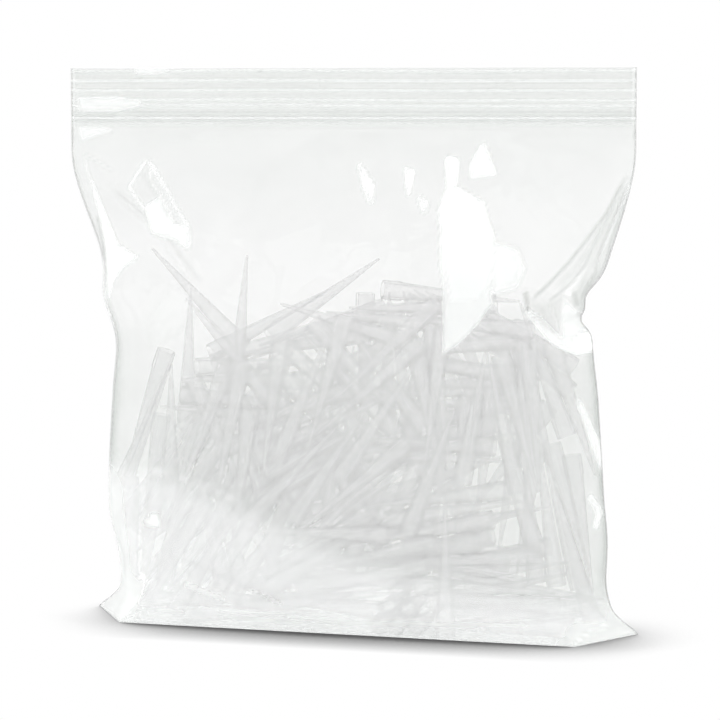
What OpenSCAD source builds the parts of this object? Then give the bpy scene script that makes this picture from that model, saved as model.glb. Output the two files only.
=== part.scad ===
// Clear press-to-close bag standing on its base, part filled with loose pipette tips.
// The frame has +X along the bag's width, +Z up, and its origin in the middle of the base,
// where the ends of the bottom seam rest. The front of the bag faces -Y.

/* [Bag] */
// Flat width of the bag between its side seams
bag_w = 203; // [180:1:230]
// Height of the standing bag over its lip
bag_h = 199.5; // [185:0.5:215]
// Thickness of the film
film_t = 0.1; // [0.05:0.01:0.25]
// Depth of the flat base
base_d = 54; // [48:1:60]
// Length of the straight front edge of the base
base_w = 168; // [150:1:176]
// Width of the filled body at its widest
body_w = 185; // [176:1:190]
// Depth of the filled body at its deepest
body_d = 62; // [56:1:70]
// Width at the pinch over the filled part
pinch_w = 176; // [170:1:184]
// Height of the corner ears where they run into the body
ear_h = 12; // [8:1:16]
// Sideways lean of the body over its base, to -X
body_lean = 4; // [0:0.5:8]
// Turn of the closed mouth about the vertical, seen against the base
mouth_turn = 8; // [0:1:12]

/* [Closure] */
// Height of the flat band that holds the lip and the zip
band_h = 20; // [16:0.5:26]
// Thickness of the closed band over both films
band_t = 2; // [1.8:0.1:3]
// Thickness of each zip strip's tape
tape_t = 0.25; // [0.15:0.05:0.35]
// Height of the zip profile's middle over the bottom of the band
zip_rise = 2.4; // [2:0.1:4]
// Clearance between the pressed-in rib and its groove
zip_clear = 0.08; // [0.04:0.01:0.1]
// Width of the rib's stem
stem_w = 0.5; // [0.4:0.05:0.6]
// Width of the rib's arrow head
head_w = 1.1; // [0.9:0.05:1.3]
// Length of the rib's arrow head
head_l = 0.35; // [0.25:0.05:0.45]
// Thickness of the hooks that hold the arrow head
hook_t = 0.25; // [0.15:0.05:0.3]
// Thickness of the groove's jaws
jaw_t = 0.4; // [0.3:0.05:0.6]
// Number of grip ridges on each strip
ridge_count = 8; // [4:1:9]
// Pitch of the grip ridges
ridge_pitch = 1.9; // [1.4:0.1:2]
// Height of each grip ridge over the tape
ridge_h = 0.3; // [0.15:0.05:0.35]
// Distance from the top of each strip to the edge of the lip
lip_gap = 0.3; // [0.2:0.1:1]
// Distance from each side seam to the end of the zip strips
strip_inset = 1.4; // [1.2:0.1:4]

/* [Pipette tips] */
// Length of a tip
tip_len = 50; // [44:0.5:56]
// Outer diameter of the collar at the open end
rim_d = 6.9; // [6:0.1:7]
// Length of the collar
collar_h = 7; // [5:0.5:10]
// Width of the ledge under the collar
ledge = 0.3; // [0.1:0.05:0.5]
// Outer diameter at the fine end
end_d = 0.9; // [0.7:0.1:1.4]
// Bore at the open end
mouth_bore = 5.6; // [4.6:0.1:5.8]
// Bore at the fine end
end_bore = 0.45; // [0.3:0.05:0.6]
// Depth of the wide socket that takes the pipette's nozzle
socket_h = 14; // [10:1:18]
// Wall under the socket's floor
socket_wall = 0.55; // [0.4:0.05:0.7]

/* [Heap] */
// Number of layers of tips from the front film to the back film
layer_count = 7; // [3:2:7]
// Gap between layers
layer_gap = 0.1; // [0.05:0.05:0.3]
// Sideways swing of each fine end within its layer
tip_swing = 1; // [0.4:0.1:1.6]
// Height of the heap in the middle and on the right
heap_h = 118; // [90:1:124]
// Height that the heap loses toward its left side
heap_slope = 20; // [0:1:40]
// Number of tips poured into each layer, of which those with no room are left out
poured = 300; // [20:10:400]
// Number of places tried for each poured tip
tries = 9; // [3:1:10]
// Gap left where a tip rests on another
tip_clear = 0.05; // [0.02:0.01:0.2]
// Least gap between a tip and the film beside it
wall_clear = 0.6; // [0.4:0.1:1.5]
// Number of the shuffle that the heap is poured with
shuffle = 7; // [1:1:50]
// Tips that lie crosswise on the base in a small stack: number in the lowest row
cross_row = 3; // [1:1:5]
// Place of that stack's middle along the base
cross_x = 20; // [-30:1:40]

/* [Hidden] */
groups = 7;
film_facets = 40;
film_steps = 26;
tip_facets = 48;

rim_r = rim_d / 2;
shaft_r = rim_r - ledge;
end_r = end_d / 2;
zip_z = bag_h - band_h;
half_band = band_t / 2 - film_t;
half_layer = rim_r + tip_swing * collar_h / tip_len / 2;
layer_pitch = 2 * half_layer + layer_gap;
middle_layer = (layer_count - 1) / 2;
floor_z = film_t + tip_clear;
ear_w = (bag_w - base_w) / 2;
flat_from = mix(heap_h, zip_z, 0.86);

// Half width of the film at each height, from the tips of the ears to the closed band
half_width_curve = [
    [0, bag_w / 2 - 0.5],
    [0.3 * ear_h, mix(body_w, bag_w, 0.45) / 2],
    [0.7 * ear_h, body_w / 2 - 0.5],
    [1.6 * ear_h, body_w / 2 - 2.7],
    [0.34 * heap_h, body_w / 2],
    [0.68 * heap_h, body_w / 2 - 2],
    [0.94 * heap_h, pinch_w / 2],
    [mix(heap_h, zip_z, 0.24), mix(pinch_w, bag_w, 0.4) / 2],
    [mix(heap_h, zip_z, 0.52), mix(pinch_w, bag_w, 0.75) / 2],
    [mix(heap_h, zip_z, 0.76), bag_w / 2 - 0.3],
    [zip_z, bag_w / 2]
];
// Half depth of the film at each height
half_depth_curve = [
    [0, base_d / 2],
    [0.15 * heap_h, base_d / 2 + 0.5],
    [0.42 * heap_h, body_d / 2 - 1.5],
    [0.76 * heap_h, body_d / 2],
    [heap_h, body_d / 2 - 0.5],
    [mix(heap_h, zip_z, 0.3), body_d / 2 - 3.5],
    [mix(heap_h, zip_z, 0.54), 0.65 * body_d / 2],
    [mix(heap_h, zip_z, 0.76), 0.33 * body_d / 2],
    [mix(heap_h, zip_z, 0.92), 0.08 * body_d / 2 + band_t / 2],
    [zip_z, band_t / 2]
];
// Height of the heap's outline across the bag
heap_curve = [
    [-body_w / 2, heap_h - 1.5 * heap_slope],
    [-0.3 * body_w, heap_h - heap_slope],
    [-0.18 * body_w, heap_h - 0.85 * heap_slope],
    [0, heap_h],
    [0.32 * body_w, heap_h],
    [0.47 * body_w, heap_h - heap_slope]
];
// Tips that keep a chosen place: [layer from the middle, x, height, slope] of their middles.
// Those at the top stand proud of the heap, and the rest show through the front.
chosen_tips = [
    [-1, -43, 108, 85],
    [0, -14, 118, 35],
    [1, -37, 109, 28],
    [-2, -2, 111, 165],
    [1, -1, 99, -92],
    [0, -62, 119, 135],
    [-2, -45, 108, 132],
    [-1, -76, 93, 114],
    [1, -68, 96, 88],
    [0, 33, 119, -4],
    [-1, 26, 116, 184],
    [-1, 75, 97, -52],
    [-1, 61, 92, 95],
    [-2, -25, 77, 200],
    [-3, -6, 60, 56],
    [-2, 1, 50, 224],
    [-1, -80, 82, 250],
    [-1, 74, 36, -69],
    [0, 81, 42, -81],
    [-2, 19, 80, 92],
    [-2, 45, 80, 80],
    [-3, -35, 8, 3],
    [-3, 32, 84, 262]
];

function mix(a, b, share) = a + (b - a) * share;
function ease(share) = let (s = max(0, min(1, share))) s * s * (3 - 2 * s);
// Gradient of a curve at one of its [place, value] points, level at both ends
function gradient(points, i) =
    i == 0 || i == len(points) - 1 ? 0
    : (points[i + 1][1] - points[i - 1][1]) / (points[i + 1][0] - points[i - 1][0]);
// Value at a place on the smooth curve through a few points
function on_curve(points, place, i = 0) =
    place <= points[0][0] ? points[0][1]
    : i >= len(points) - 1 ? points[len(points) - 1][1]
    : place > points[i + 1][0] ? on_curve(points, place, i + 1)
    : let (
        span = points[i + 1][0] - points[i][0],
        t = (place - points[i][0]) / span,
        u = 1 - t)
        mix(points[i][1], points[i + 1][1], ease(t))
            + span * t * u * (u * gradient(points, i) - t * gradient(points, i + 1));

// ---- The film's shape ----
function lean(z) = -body_lean * ease(z / (0.34 * heap_h));
function turn(z) = mouth_turn * ease((z - heap_h) / (zip_z - 8 - heap_h));
// Depth of a cross-section at a share of its half width, as a share of its half depth
function round_share(share, power) = share >= 1 ? 0 : pow(1 - pow(share, power), 1 / power);
function flat_share(share, corner) = min(1, (1 - share) / corner);
function depth_share(share, z) = let (
    base = 1 - ease(z / (1.6 * ear_h)),
    band = ease((z - flat_from) / (zip_z - flat_from)),
    body = round_share(share, mix(2.05, 3, ease(1 - z / (0.3 * heap_h)))))
    mix(mix(body, flat_share(share, ear_w / (bag_w / 2)), base),
        flat_share(share, 1 - cos(360 / film_facets)), band);
// Half depth of the room inside the film at a point of the XZ plane
function room(x, z) = let (share = abs(x - lean(z)) / on_curve(half_width_curve, z))
    (on_curve(half_depth_curve, z) - film_t) * depth_share(share, z);

// One horizontal ring of the film, inset by its thickness for the inner skin
function film_ring(z, inset) = [
    for (i = [0 : film_facets - 1])
        let (a = 360 * i / film_facets,
             x = (on_curve(half_width_curve, z) - inset) * cos(a),
             y = (on_curve(half_depth_curve, z) - inset) * depth_share(abs(cos(a)), z) * sign(sin(a)))
            [lean(z) + x * cos(turn(z)) - y * sin(turn(z)), x * sin(turn(z)) + y * cos(turn(z)), z]
];
// Heights of the rings, closer together over the base and under the band
function film_levels(first) = [
    for (i = [0 : film_steps])
        let (s = i / film_steps)
            max(first, zip_z * (s - 0.7 * sin(360 * s) / (2 * PI))),
    bag_h
];

// The pouch: outer skin, inner skin, both bottoms and the rim of the mouth, as one closed surface
module bag_film() {
    n = film_facets;
    outer = [for (z = film_levels(0)) film_ring(z, 0)];
    inner = [for (z = film_levels(film_t)) film_ring(z, film_t)];
    rows = len(outer);
    points = concat([for (ring = outer) each ring], [for (ring = inner) each ring]);
    skip = rows * n;
    top = (rows - 1) * n;
    walls = [
        for (r = [0 : rows - 2], i = [0 : n - 1])
            let (a = r * n + i, b = r * n + (i + 1) % n)
                each [
                    [a, a + n, b + n], [a, b + n, b],
                    [skip + a, skip + b + n, skip + a + n], [skip + a, skip + b, skip + b + n]
                ]
    ];
    bottoms = [
        for (i = [1 : n / 2 - 1])
            let (a = i, b = i + 1, c = n - i, d = n - i - 1)
                each concat(
                    [[a, b, c], [skip + a, skip + c, skip + b]],
                    i < n / 2 - 1 ? [[b, d, c], [skip + b, skip + c, skip + d]] : [])
    ];
    ends = [[0, 1, n - 1], [skip, skip + n - 1, skip + 1]];
    rim = [
        for (i = [0 : n - 1])
            let (a = top + i, b = top + (i + 1) % n)
                each [[a, skip + a, skip + b], [a, skip + b, b]]
    ];
    color([0.93, 0.95, 0.93, 0.35]) polyhedron(points, concat(walls, bottoms, ends, rim), convexity = 4);
}

// ---- The press-to-close zip ----
// Both strips are drawn in section with X from front to back, 0 midway between the films, and Y up
// from the bottom of the band. The front one lies on side -1 and the back one on side 1.
// A mirrored outline is taken the other way round, so that all of them run counter-clockwise
function wound(points, way) = way > 0 ? points : [for (i = [len(points) - 1 : -1 : 0]) points[i]];

module ridged_tape(side) {
    first_ridge = zip_rise + 2.6;
    face = half_band - tape_t;
    translate([side < 0 ? -half_band : face, 0]) square([tape_t, band_h - lip_gap]);
    for (i = [0 : ridge_count - 1])
        translate([0, first_ridge + i * ridge_pitch])
            polygon(wound([
                [side * (face + tape_t / 2), -ridge_h * 1.5], [side * (face + tape_t / 2), ridge_h * 1.5],
                [side * (face - ridge_h), ridge_h / 2], [side * (face - ridge_h), -ridge_h / 2]
            ], side));
}

// Groove: two jaws with hooks that hold the rib's head
module groove_section() {
    root = tape_t / 2 - half_band;
    inner = head_w / 2 + zip_clear;
    outer = inner + jaw_t;
    mouth = stem_w / 2 + zip_clear;
    hook_x = zip_clear + hook_t;
    for (up = [-1, 1])
        translate([0, zip_rise])
            polygon(wound([
                [root, up * inner], [zip_clear, up * inner], [zip_clear, up * mouth],
                [hook_x, up * (mouth + 0.1)], [hook_x + 0.2, up * outer], [root, up * outer]
            ], up));
}

// Rib: a stem with an arrow head that sits behind the hooks
module rib_section() {
    root = half_band - tape_t / 2;
    translate([0, zip_rise])
        polygon([
            [root, stem_w / 2], [0, stem_w / 2], [0, head_w / 2], [-head_l, 0],
            [0, -head_w / 2], [0, -stem_w / 2], [root, -stem_w / 2]
        ]);
}

module strip() {
    length = bag_w - 2 * strip_inset;
    translate([-body_lean, 0, zip_z])
        rotate([0, 0, mouth_turn])
            rotate([90, 0, 90])
                linear_extrude(height = length, center = true) children();
}

module zip_strip_front() {
    color([0.9, 0.92, 0.9, 0.6]) strip() {
        ridged_tape(-1);
        groove_section();
    }
}

module zip_strip_back() {
    color([0.9, 0.92, 0.9, 0.6]) strip() {
        ridged_tape(1);
        rib_section();
    }
}

// ---- One pipette tip ----
// Outer radius under the collar, at a distance from the open end
function shaft_radius(at) = mix(shaft_r, end_r, (at - collar_h) / (tip_len - collar_h));
// The open end is at the origin and the tip runs along +Z
module pipette_tip() {
    socket_r = shaft_radius(socket_h) - socket_wall;
    rotate_extrude($fn = tip_facets)
        polygon([
            [mouth_bore / 2, 0], [rim_r, 0], [rim_r, collar_h], [shaft_r, collar_h],
            [end_r, tip_len], [end_bore / 2, tip_len], [socket_r, socket_h]
        ]);
}

// ---- The heap ----
// A tip is [x, z, slope, swing]: its open end, the way it points in the layer's plane, and the
// side its fine end swings to. In the plane of its layer it takes the room of a convex outline.
function outline(tip) = let (
    along = [cos(tip[2]), sin(tip[2])], side = [-along[1], along[0]], mouth = [tip[0], tip[1]],
    open = mouth - along * rim_r * tip_swing / tip_len,
    neck = mouth + along * collar_h, fine = mouth + along * tip_len)
    [open + side * rim_r, open - side * rim_r, neck - side * rim_r,
     fine - side * end_r, fine + side * end_r, neck + side * rim_r];
function middle(tip) = [tip[0] + cos(tip[2]) * tip_len / 2, tip[1] + sin(tip[2]) * tip_len / 2];
// Lower edges (way 1) or upper edges (way -1) of an outline, each as [point, gradient]
function edges(points, way) = [
    for (i = [0 : len(points) - 1])
        let (a = points[i], step = points[(i + 1) % len(points)] - a)
            if (step[0] * way > 1e-6) [a, step[1] / step[0]]
];
function lower_z(lines, x) = max([for (line = lines) line[0][1] + line[1] * (x - line[0][0])]);
function upper_z(lines, x) = min([for (line = lines) line[0][1] + line[1] * (x - line[0][0])]);
// What the pouring needs of each piece: [tip, least x, greatest x, points, lower edges, upper edges]
function piece(tip, points) = let (xs = [for (p = points) p[0]])
    [tip, min(xs), max(xs), points, edges(points, 1), edges(points, -1)];
// The lifts of piece a that would make it overlap piece b
function blocked(a, b) = let (
    in_a = [for (p = b[3]) if (p[0] > a[1] && p[0] < a[2]) p],
    in_b = [for (p = a[3]) if (p[0] > b[1] && p[0] < b[2]) p],
    under = [for (p = in_a) p[1] - upper_z(a[5], p[0]), for (p = in_b) lower_z(b[4], p[0]) - p[1]],
    over = [for (p = in_a) p[1] - lower_z(a[4], p[0]), for (p = in_b) upper_z(b[5], p[0]) - p[1]])
    [min(under) - tip_clear, max(over) + tip_clear];
function tip_piece(x, z, slope, swing) = let (
    tip = [x - cos(slope) * tip_len / 2, z - sin(slope) * tip_len / 2, slope, swing])
    piece(tip, outline(tip));
function blocks(a, placed) = [for (b = placed) if (b[1] < a[2] && b[2] > a[1]) blocked(a, b)];
// The least free lift at or over the one given
function rise_free(lift, spans, i = 0, moved = false) =
    i >= len(spans) ? (moved ? rise_free(lift, spans) : lift)
    : lift > spans[i][0] + 1e-6 && lift < spans[i][1] - 1e-6 ? rise_free(spans[i][1], spans, i + 1, true)
    : rise_free(lift, spans, i + 1, moved);
function floor_lift(a) = floor_z - min([for (p = a[3]) p[1]]);
function lifted(a, lift) = [a[0][0], a[0][1] + lift, a[0][2], a[0][3]];
// Whether a tip has room for its layer's depth inside the film, all along both of its sides
function fits(tip, depth) = let (
    points = outline(tip),
    shaft = [for (t = [1 / 3, 2 / 3]) each [mix(points[5], points[4], t), mix(points[2], points[3], t)]])
    min([for (p = concat(points, shaft)) room(p[0], p[1]) - depth]) >= wall_clear;
function in_heap(tip) = min([for (p = outline(tip)) on_curve(heap_curve, p[0]) - p[1]]) >= 0;

// A tip centred on x that sinks to the lowest place free, clear of the places kept for others:
// [how low it is, tip], or [] with no room
function settled(x, slope, swing, depth, placed, kept) = let (
    a = tip_piece(x, 0, slope, swing),
    lift = rise_free(floor_lift(a), blocks(a, placed)),
    tip = lifted(a, lift))
    in_heap(tip) && rise_free(lift, blocks(a, kept)) == lift && fits(tip, depth)
        ? [middle(tip)[1] - on_curve(heap_curve, x), tip] : [];
function lowest(options, i = 0, best = []) =
    i >= len(options) ? best
    : lowest(options, i + 1,
             options[i] != [] && (best == [] || options[i][0] < best[0]) ? options[i] : best);
// A tip set down from its own place on to what lies under it
function set_down(a, depth, placed) = let (
    spans = blocks(a, placed),
    clear = rise_free(0, spans),
    lift = clear > 0 ? clear : max([floor_lift(a), for (span = spans) if (span[1] <= 0) span[1]]),
    tip = lifted(a, lift))
    fits(tip, depth) ? tip : [];

// Places of the stacked tips that lie crosswise, seen along their length
cross_places = [
    for (row = [0 : cross_row - 1], i = [0 : cross_row - 1 - row])
        let (step = rim_d + tip_clear)
            [cross_x + step * (i - (cross_row - 1 - row) / 2), floor_z + rim_r + row * step * sin(60)]
];
// The room that such a tip takes in one layer, where its shaft is widest there
function cross_piece(place, layer) = let (
    nearest = layer * layer_pitch - half_layer + tip_len / 2,
    r = nearest < collar_h ? rim_r : shaft_radius(nearest))
    piece([], [for (a = [30 : 60 : 330]) place + r / cos(30) * [-sin(a), cos(a)]]);

// The slope that most tips take at a place across the bag: they fan out to both sides
function fan_slope(x) = 90 + 30 * x / (bag_w / 2);
function poured_tip(r, share, depth, placed, kept) = let (
    flat = 1 - ease((share - 0.01) / 0.02),
    count = len(placed) - len(cross_places),
    beside = count > 6 && r[4] < 0.5 ? placed[len(cross_places) + 3 + floor(r[0] * (count - 3))][0] : [],
    flip = r[3] > 0.5 ? 180 : 0,
    spread = mix(mix(55, 95, share), 20, flat) * (r[1] + r[2] - 1))
    lowest([
        for (i = [0 : tries - 1])
            let (x = beside == [] ? (r[5 * i] - 0.5) * bag_w : middle(beside)[0] + (r[5 * i + 1] - 0.5) * 30,
                 slope = beside == [] ? mix(fan_slope(x), 0, flat) + spread : beside[2],
                 jitter = (r[5 * i + 2] - 0.5) * 18)
                settled(x, slope + jitter + flip, r[2] > 0.5 ? 1 : -1, depth, placed, kept)
    ]);
function pour(layer, depth, placed, kept, i = 0) = i >= poured ? placed : let (
    r = rands(0, 1, 5 * tries, shuffle + 1000 * (layer + layer_count) + i),
    found = poured_tip(r, i / poured, depth, placed, kept))
    pour(layer, depth, found == [] ? placed : concat(placed, [piece(found[1], outline(found[1]))]), kept, i + 1);
function set_down_all(kept, depth, placed, i = 0) = i >= len(kept) ? placed : let (
    tip = set_down(kept[i], depth, placed))
    set_down_all(kept, depth, tip == [] ? placed : concat(placed, [piece(tip, outline(tip))]), i + 1);
// Every tip of one layer, counted from the middle layer, front negative
function layer_tips(layer) = let (
    depth = abs(layer) * layer_pitch + half_layer,
    start = [for (place = cross_places) cross_piece(place, layer)],
    kept = [for (tip = chosen_tips) if (tip[0] == layer) tip_piece(tip[1], tip[2], tip[3], 1)],
    all = set_down_all(kept, depth, pour(layer, depth, start, kept)))
    [for (i = [len(start) : 1 : len(all) - 1]) all[i][0]];

module laid_tip(tip, y) {
    lean_in = asin(tip_swing / tip_len) * tip[3];
    translate([tip[0], y - tip_swing * collar_h / tip_len / 2 * tip[3], tip[1]])
        rotate([0, 90 - tip[2], 0])
            rotate([-lean_in, 0, 0])
                pipette_tip();
}

// One group of a layer's tips, in the order in which they came to rest
module tip_group(layer, group) {
    tips = layer_tips(layer);
    first = floor(group * len(tips) / groups);
    next = floor((group + 1) * len(tips) / groups);
    color([0.86, 0.87, 0.87, 0.7])
        for (i = [first : 1 : next - 1])
            laid_tip(tips[i], layer * layer_pitch);
}

// The stack that lies crosswise, open ends to the front
module tips_crosswise() {
    color([0.86, 0.87, 0.87, 0.7])
        for (place = cross_places)
            translate([place[0], -tip_len / 2, place[1]]) rotate([-90, 0, 0]) pipette_tip();
}

layer_names = ["back_3", "back_2", "back_1", "middle", "front_1", "front_2", "front_3"];
function group_name(layer, group) = str("tips_", layer_names[3 - layer], "_", chr(97 + group));

bag_film();
zip_strip_front();
zip_strip_back();
tips_crosswise();
for (layer = [-middle_layer : middle_layer], group = [0 : groups - 1])
    tip_group(layer, group);
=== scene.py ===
"""A clear press-to-close bag of loose pipette tips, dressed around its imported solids.

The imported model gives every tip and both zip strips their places. This script replaces the plain
film by a creased pouch of the same section, welds its sides, gives each plastic its finish and
sets up a plain white studio. Lengths are in millimetres, as in the part's own source, but for the
studio's, and meshes are written in metres.
"""

from __future__ import annotations

import logging
import math
from collections.abc import Sequence
from dataclasses import dataclass, field
from enum import Enum

import bmesh
import bpy
import numpy as np
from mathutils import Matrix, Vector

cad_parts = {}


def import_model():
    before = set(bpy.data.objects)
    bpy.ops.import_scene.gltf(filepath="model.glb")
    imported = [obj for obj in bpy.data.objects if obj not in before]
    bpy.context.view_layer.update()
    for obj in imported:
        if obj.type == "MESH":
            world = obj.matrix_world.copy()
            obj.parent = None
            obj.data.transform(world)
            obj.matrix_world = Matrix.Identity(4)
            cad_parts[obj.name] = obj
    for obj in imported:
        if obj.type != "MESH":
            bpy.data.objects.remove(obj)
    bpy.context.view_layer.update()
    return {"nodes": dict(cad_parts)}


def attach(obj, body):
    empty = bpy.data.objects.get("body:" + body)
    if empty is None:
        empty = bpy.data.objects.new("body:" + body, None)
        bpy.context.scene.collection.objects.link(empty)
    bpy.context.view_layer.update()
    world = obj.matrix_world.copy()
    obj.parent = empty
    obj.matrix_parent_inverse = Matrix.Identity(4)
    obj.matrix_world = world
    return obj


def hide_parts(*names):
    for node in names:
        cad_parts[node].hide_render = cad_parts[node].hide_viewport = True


log = logging.getLogger("tip_bag")

MM = 0.001
BODY = "root"
STRIP_NODES = "zip_strip"
LOW_TIPS_NODE = "tips_crosswise"
MARKS = "marks"

Piece = bpy.types.Object
Array = np.ndarray
Number = Array | float
Pair = tuple[float, float]
Triple = tuple[float, float, float]
Colour = Triple

WHITE = (1.0, 1.0, 1.0)
# Power of the angle in Schlick's formula for how a clear surface mirrors
SCHLICK_POWER = 5
# Where on the smooth step a fold ends
FOLD_END = 0.3
# Points nearer than this many metres are one
ONE_POINT = 1e-7


class Side(Enum):
    """The two films of the pouch, by the sign of their Y."""

    FRONT = -1
    BACK = 1


class Hand(Enum):
    """The two side edges of the pouch, by the sign of their X."""

    LEFT = -1
    RIGHT = 1


# ---- Numbers ----


def mix(low: Number, high: Number, share: Number) -> Number:
    """Straight blend from low to high."""
    return low + (high - low) * share


def ease(share: Number) -> Number:
    """Smooth step: 3 s^2 - 2 s^3, held at 0 and 1 outside that span."""
    held = np.clip(share, 0.0, 1.0)
    return held * held * (3 - 2 * held)


class SmoothCurve:
    """A curve through a few points, level at its ends, as the part's source draws it."""

    def __init__(self, points: Sequence[Pair]) -> None:
        """Keeps the points and works out their gradients.

        Args:
            points: (place, value) pairs in order of place.
        """
        self.place, self.value = np.array(points, float).T
        self.gradient = np.zeros(len(points))
        rise = self.value[2:] - self.value[:-2]
        self.gradient[1:-1] = rise / (self.place[2:] - self.place[:-2])

    def __call__(self, place: Number) -> Array:
        """Value at each place: a cubic through the two points around it, with their gradients.

        Args:
            place: where to read the curve.

        Returns:
            The values, in the shape of place.
        """
        at = np.clip(place, self.place[0], self.place[-1])
        i = np.clip(np.searchsorted(self.place, at, side="right") - 1, 0, len(self.place) - 2)
        span = self.place[i + 1] - self.place[i]
        t = (at - self.place[i]) / span
        u = 1 - t
        bend = span * t * u * (u * self.gradient[i] - t * self.gradient[i + 1])
        return mix(self.value[i], self.value[i + 1], ease(t)) + bend


# ---- The pouch's section, as in the part's source ----


@dataclass
class PouchShape:
    """Sizes of the pouch in millimetres and the surface that they give."""

    bag_w: float = 203.0
    bag_h: float = 199.5
    film_t: float = 0.1
    base_d: float = 54.0
    base_w: float = 168.0
    body_w: float = 185.0
    body_d: float = 62.0
    pinch_w: float = 176.0
    ear_h: float = 12.0
    body_lean: float = 4.0
    mouth_turn: float = 8.0
    band_h: float = 20.0
    band_t: float = 2.0
    heap_h: float = 118.0
    section_facets: int = 40
    turn_end: float = 8.0
    body_power: float = 2.05
    base_power: float = 3.0

    def __post_init__(self) -> None:
        """Works out the heights and curves that the section needs."""
        self.zip_z = self.bag_h - self.band_h
        self.flat_from = self.above(0.86)
        self.base_end = 1.6 * self.ear_h
        self.lean_end = 0.34 * self.heap_h
        self.power_end = 0.3 * self.heap_h
        self.ear_w = (self.bag_w - self.base_w) / 2
        self.half_width = SmoothCurve(
            [
                (0, self.bag_w / 2 - 0.5),
                (0.3 * self.ear_h, mix(self.body_w, self.bag_w, 0.45) / 2),
                (0.7 * self.ear_h, self.body_w / 2 - 0.5),
                (self.base_end, self.body_w / 2 - 2.7),
                (self.lean_end, self.body_w / 2),
                (0.68 * self.heap_h, self.body_w / 2 - 2),
                (0.94 * self.heap_h, self.pinch_w / 2),
                (self.above(0.24), mix(self.pinch_w, self.bag_w, 0.4) / 2),
                (self.above(0.52), mix(self.pinch_w, self.bag_w, 0.75) / 2),
                (self.above(0.76), self.bag_w / 2 - 0.3),
                (self.zip_z, self.bag_w / 2),
            ]
        )
        self.half_depth = SmoothCurve(
            [
                (0, self.base_d / 2),
                (0.15 * self.heap_h, self.base_d / 2 + 0.5),
                (0.42 * self.heap_h, self.body_d / 2 - 1.5),
                (0.76 * self.heap_h, self.body_d / 2),
                (self.heap_h, self.body_d / 2 - 0.5),
                (self.above(0.3), self.body_d / 2 - 3.5),
                (self.above(0.54), 0.65 * self.body_d / 2),
                (self.above(0.76), 0.33 * self.body_d / 2),
                (self.above(0.92), 0.08 * self.body_d / 2 + self.band_t / 2),
                (self.zip_z, self.band_t / 2),
            ]
        )

    def above(self, share: float) -> float:
        """Height at a share of the way from the heap's top to the zip."""
        return mix(self.heap_h, self.zip_z, share)

    def lean(self, z: Array) -> Array:
        """Sideways shift of the section at each height."""
        return -self.body_lean * ease(z / self.lean_end)

    def turn(self, z: Array) -> Array:
        """Turn of the section about Z at each height, in radians."""
        span = self.zip_z - self.turn_end - self.heap_h
        return np.radians(self.mouth_turn) * ease((z - self.heap_h) / span)

    def depth_share(self, share: Array, z: Array) -> Array:
        """Depth of the section at a share of its half width, as a share of its half depth.

        The body is a superellipse, the base a flat strip with pointed ears, and the band flat.

        Args:
            share: distance from the middle as a share of the half width, 0 to 1.
            z: heights, in the same shape.

        Returns:
            Shares from 0 at the side edge to 1 in the middle.
        """
        base = 1 - ease(z / self.base_end)
        band = ease((z - self.flat_from) / (self.zip_z - self.flat_from))
        power = mix(self.body_power, self.base_power, ease(1 - z / self.power_end))
        body = np.power(np.clip(1 - np.power(share, power), 0, 1), 1 / power)
        ears = np.minimum(1, (1 - share) / (self.ear_w / (self.bag_w / 2)))
        flat = np.minimum(1, (1 - share) / (1 - math.cos(2 * math.pi / self.section_facets)))
        return mix(mix(body, ears, base), flat, band)

    def surface(self, angle: Array, z: Array) -> Array:
        """Points of the film's outer skin: a flattened ring at each height, leaned and turned.

        Args:
            angle: place round the ring in radians, with the front film from pi to 2 pi.
            z: heights, in the same shape.

        Returns:
            Points with X, Y, Z in a last axis.
        """
        x = self.half_width(z) * np.cos(angle)
        y = self.half_depth(z) * self.depth_share(np.abs(np.cos(angle)), z) * np.sign(np.sin(angle))
        turn = self.turn(z)
        return np.stack(
            [
                self.lean(z) + x * np.cos(turn) - y * np.sin(turn),
                x * np.sin(turn) + y * np.cos(turn),
                z,
            ],
            axis=-1,
        )


@dataclass(frozen=True)
class Pull:
    """A place where the side of the film is drawn in by a fold, or pushed out by the tips."""

    hand: Hand
    height: float
    reach: float
    outward: float
    side_x: float = 90.0

    def shift(self, points: Array) -> Array:
        """Sideways move: outward exp(-((z - height) / reach)^2) (x / side_x)^3 on its own side.

        Args:
            points: film points, with X, Y, Z in the last axis.

        Returns:
            The move along X at each point.
        """
        side = np.clip(points[..., 0] * self.hand.value / self.side_x, 0, 1) ** 3
        level = np.exp(-(((points[..., 2] - self.height) / self.reach) ** 2))
        return self.hand.value * self.outward * side * level


def grid_normals(points: Array) -> Array:
    """Unit normals of a grid of points: the cross product of its two directions.

    Args:
        points: rows by columns by 3.

    Returns:
        Normals in the same shape, outward where columns run counter-clockwise and rows upward.
    """
    across = np.gradient(points, axis=1)
    up = np.gradient(points, axis=0)
    normals = np.cross(across, up)
    length = np.linalg.norm(normals, axis=-1, keepdims=True)
    return normals / np.maximum(length, 1e-9)


# ---- Creases ----
# In all of these, x holds places across the film and z heights, in arrays of one shape.


class Mark(Enum):
    """What the marks paint on the film, by channel: painted highlight and haze, painted shade."""

    # White: haze along creases, and painted highlights
    HAZE_AND_HIGHLIGHT = 0
    # Grey: painted shade along folds and in pockets
    SHADE = 1
    # Thinner veil, so the film reads lighter there
    CLEARER = 2


def segments(corners: Sequence[Pair], closed: bool) -> list[tuple[Pair, Pair]]:
    """Pairs of neighbouring points of a line, back to its start where it is closed."""
    after = list(corners[1:]) + ([corners[0]] if closed else [])
    return list(zip(corners, after))


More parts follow.
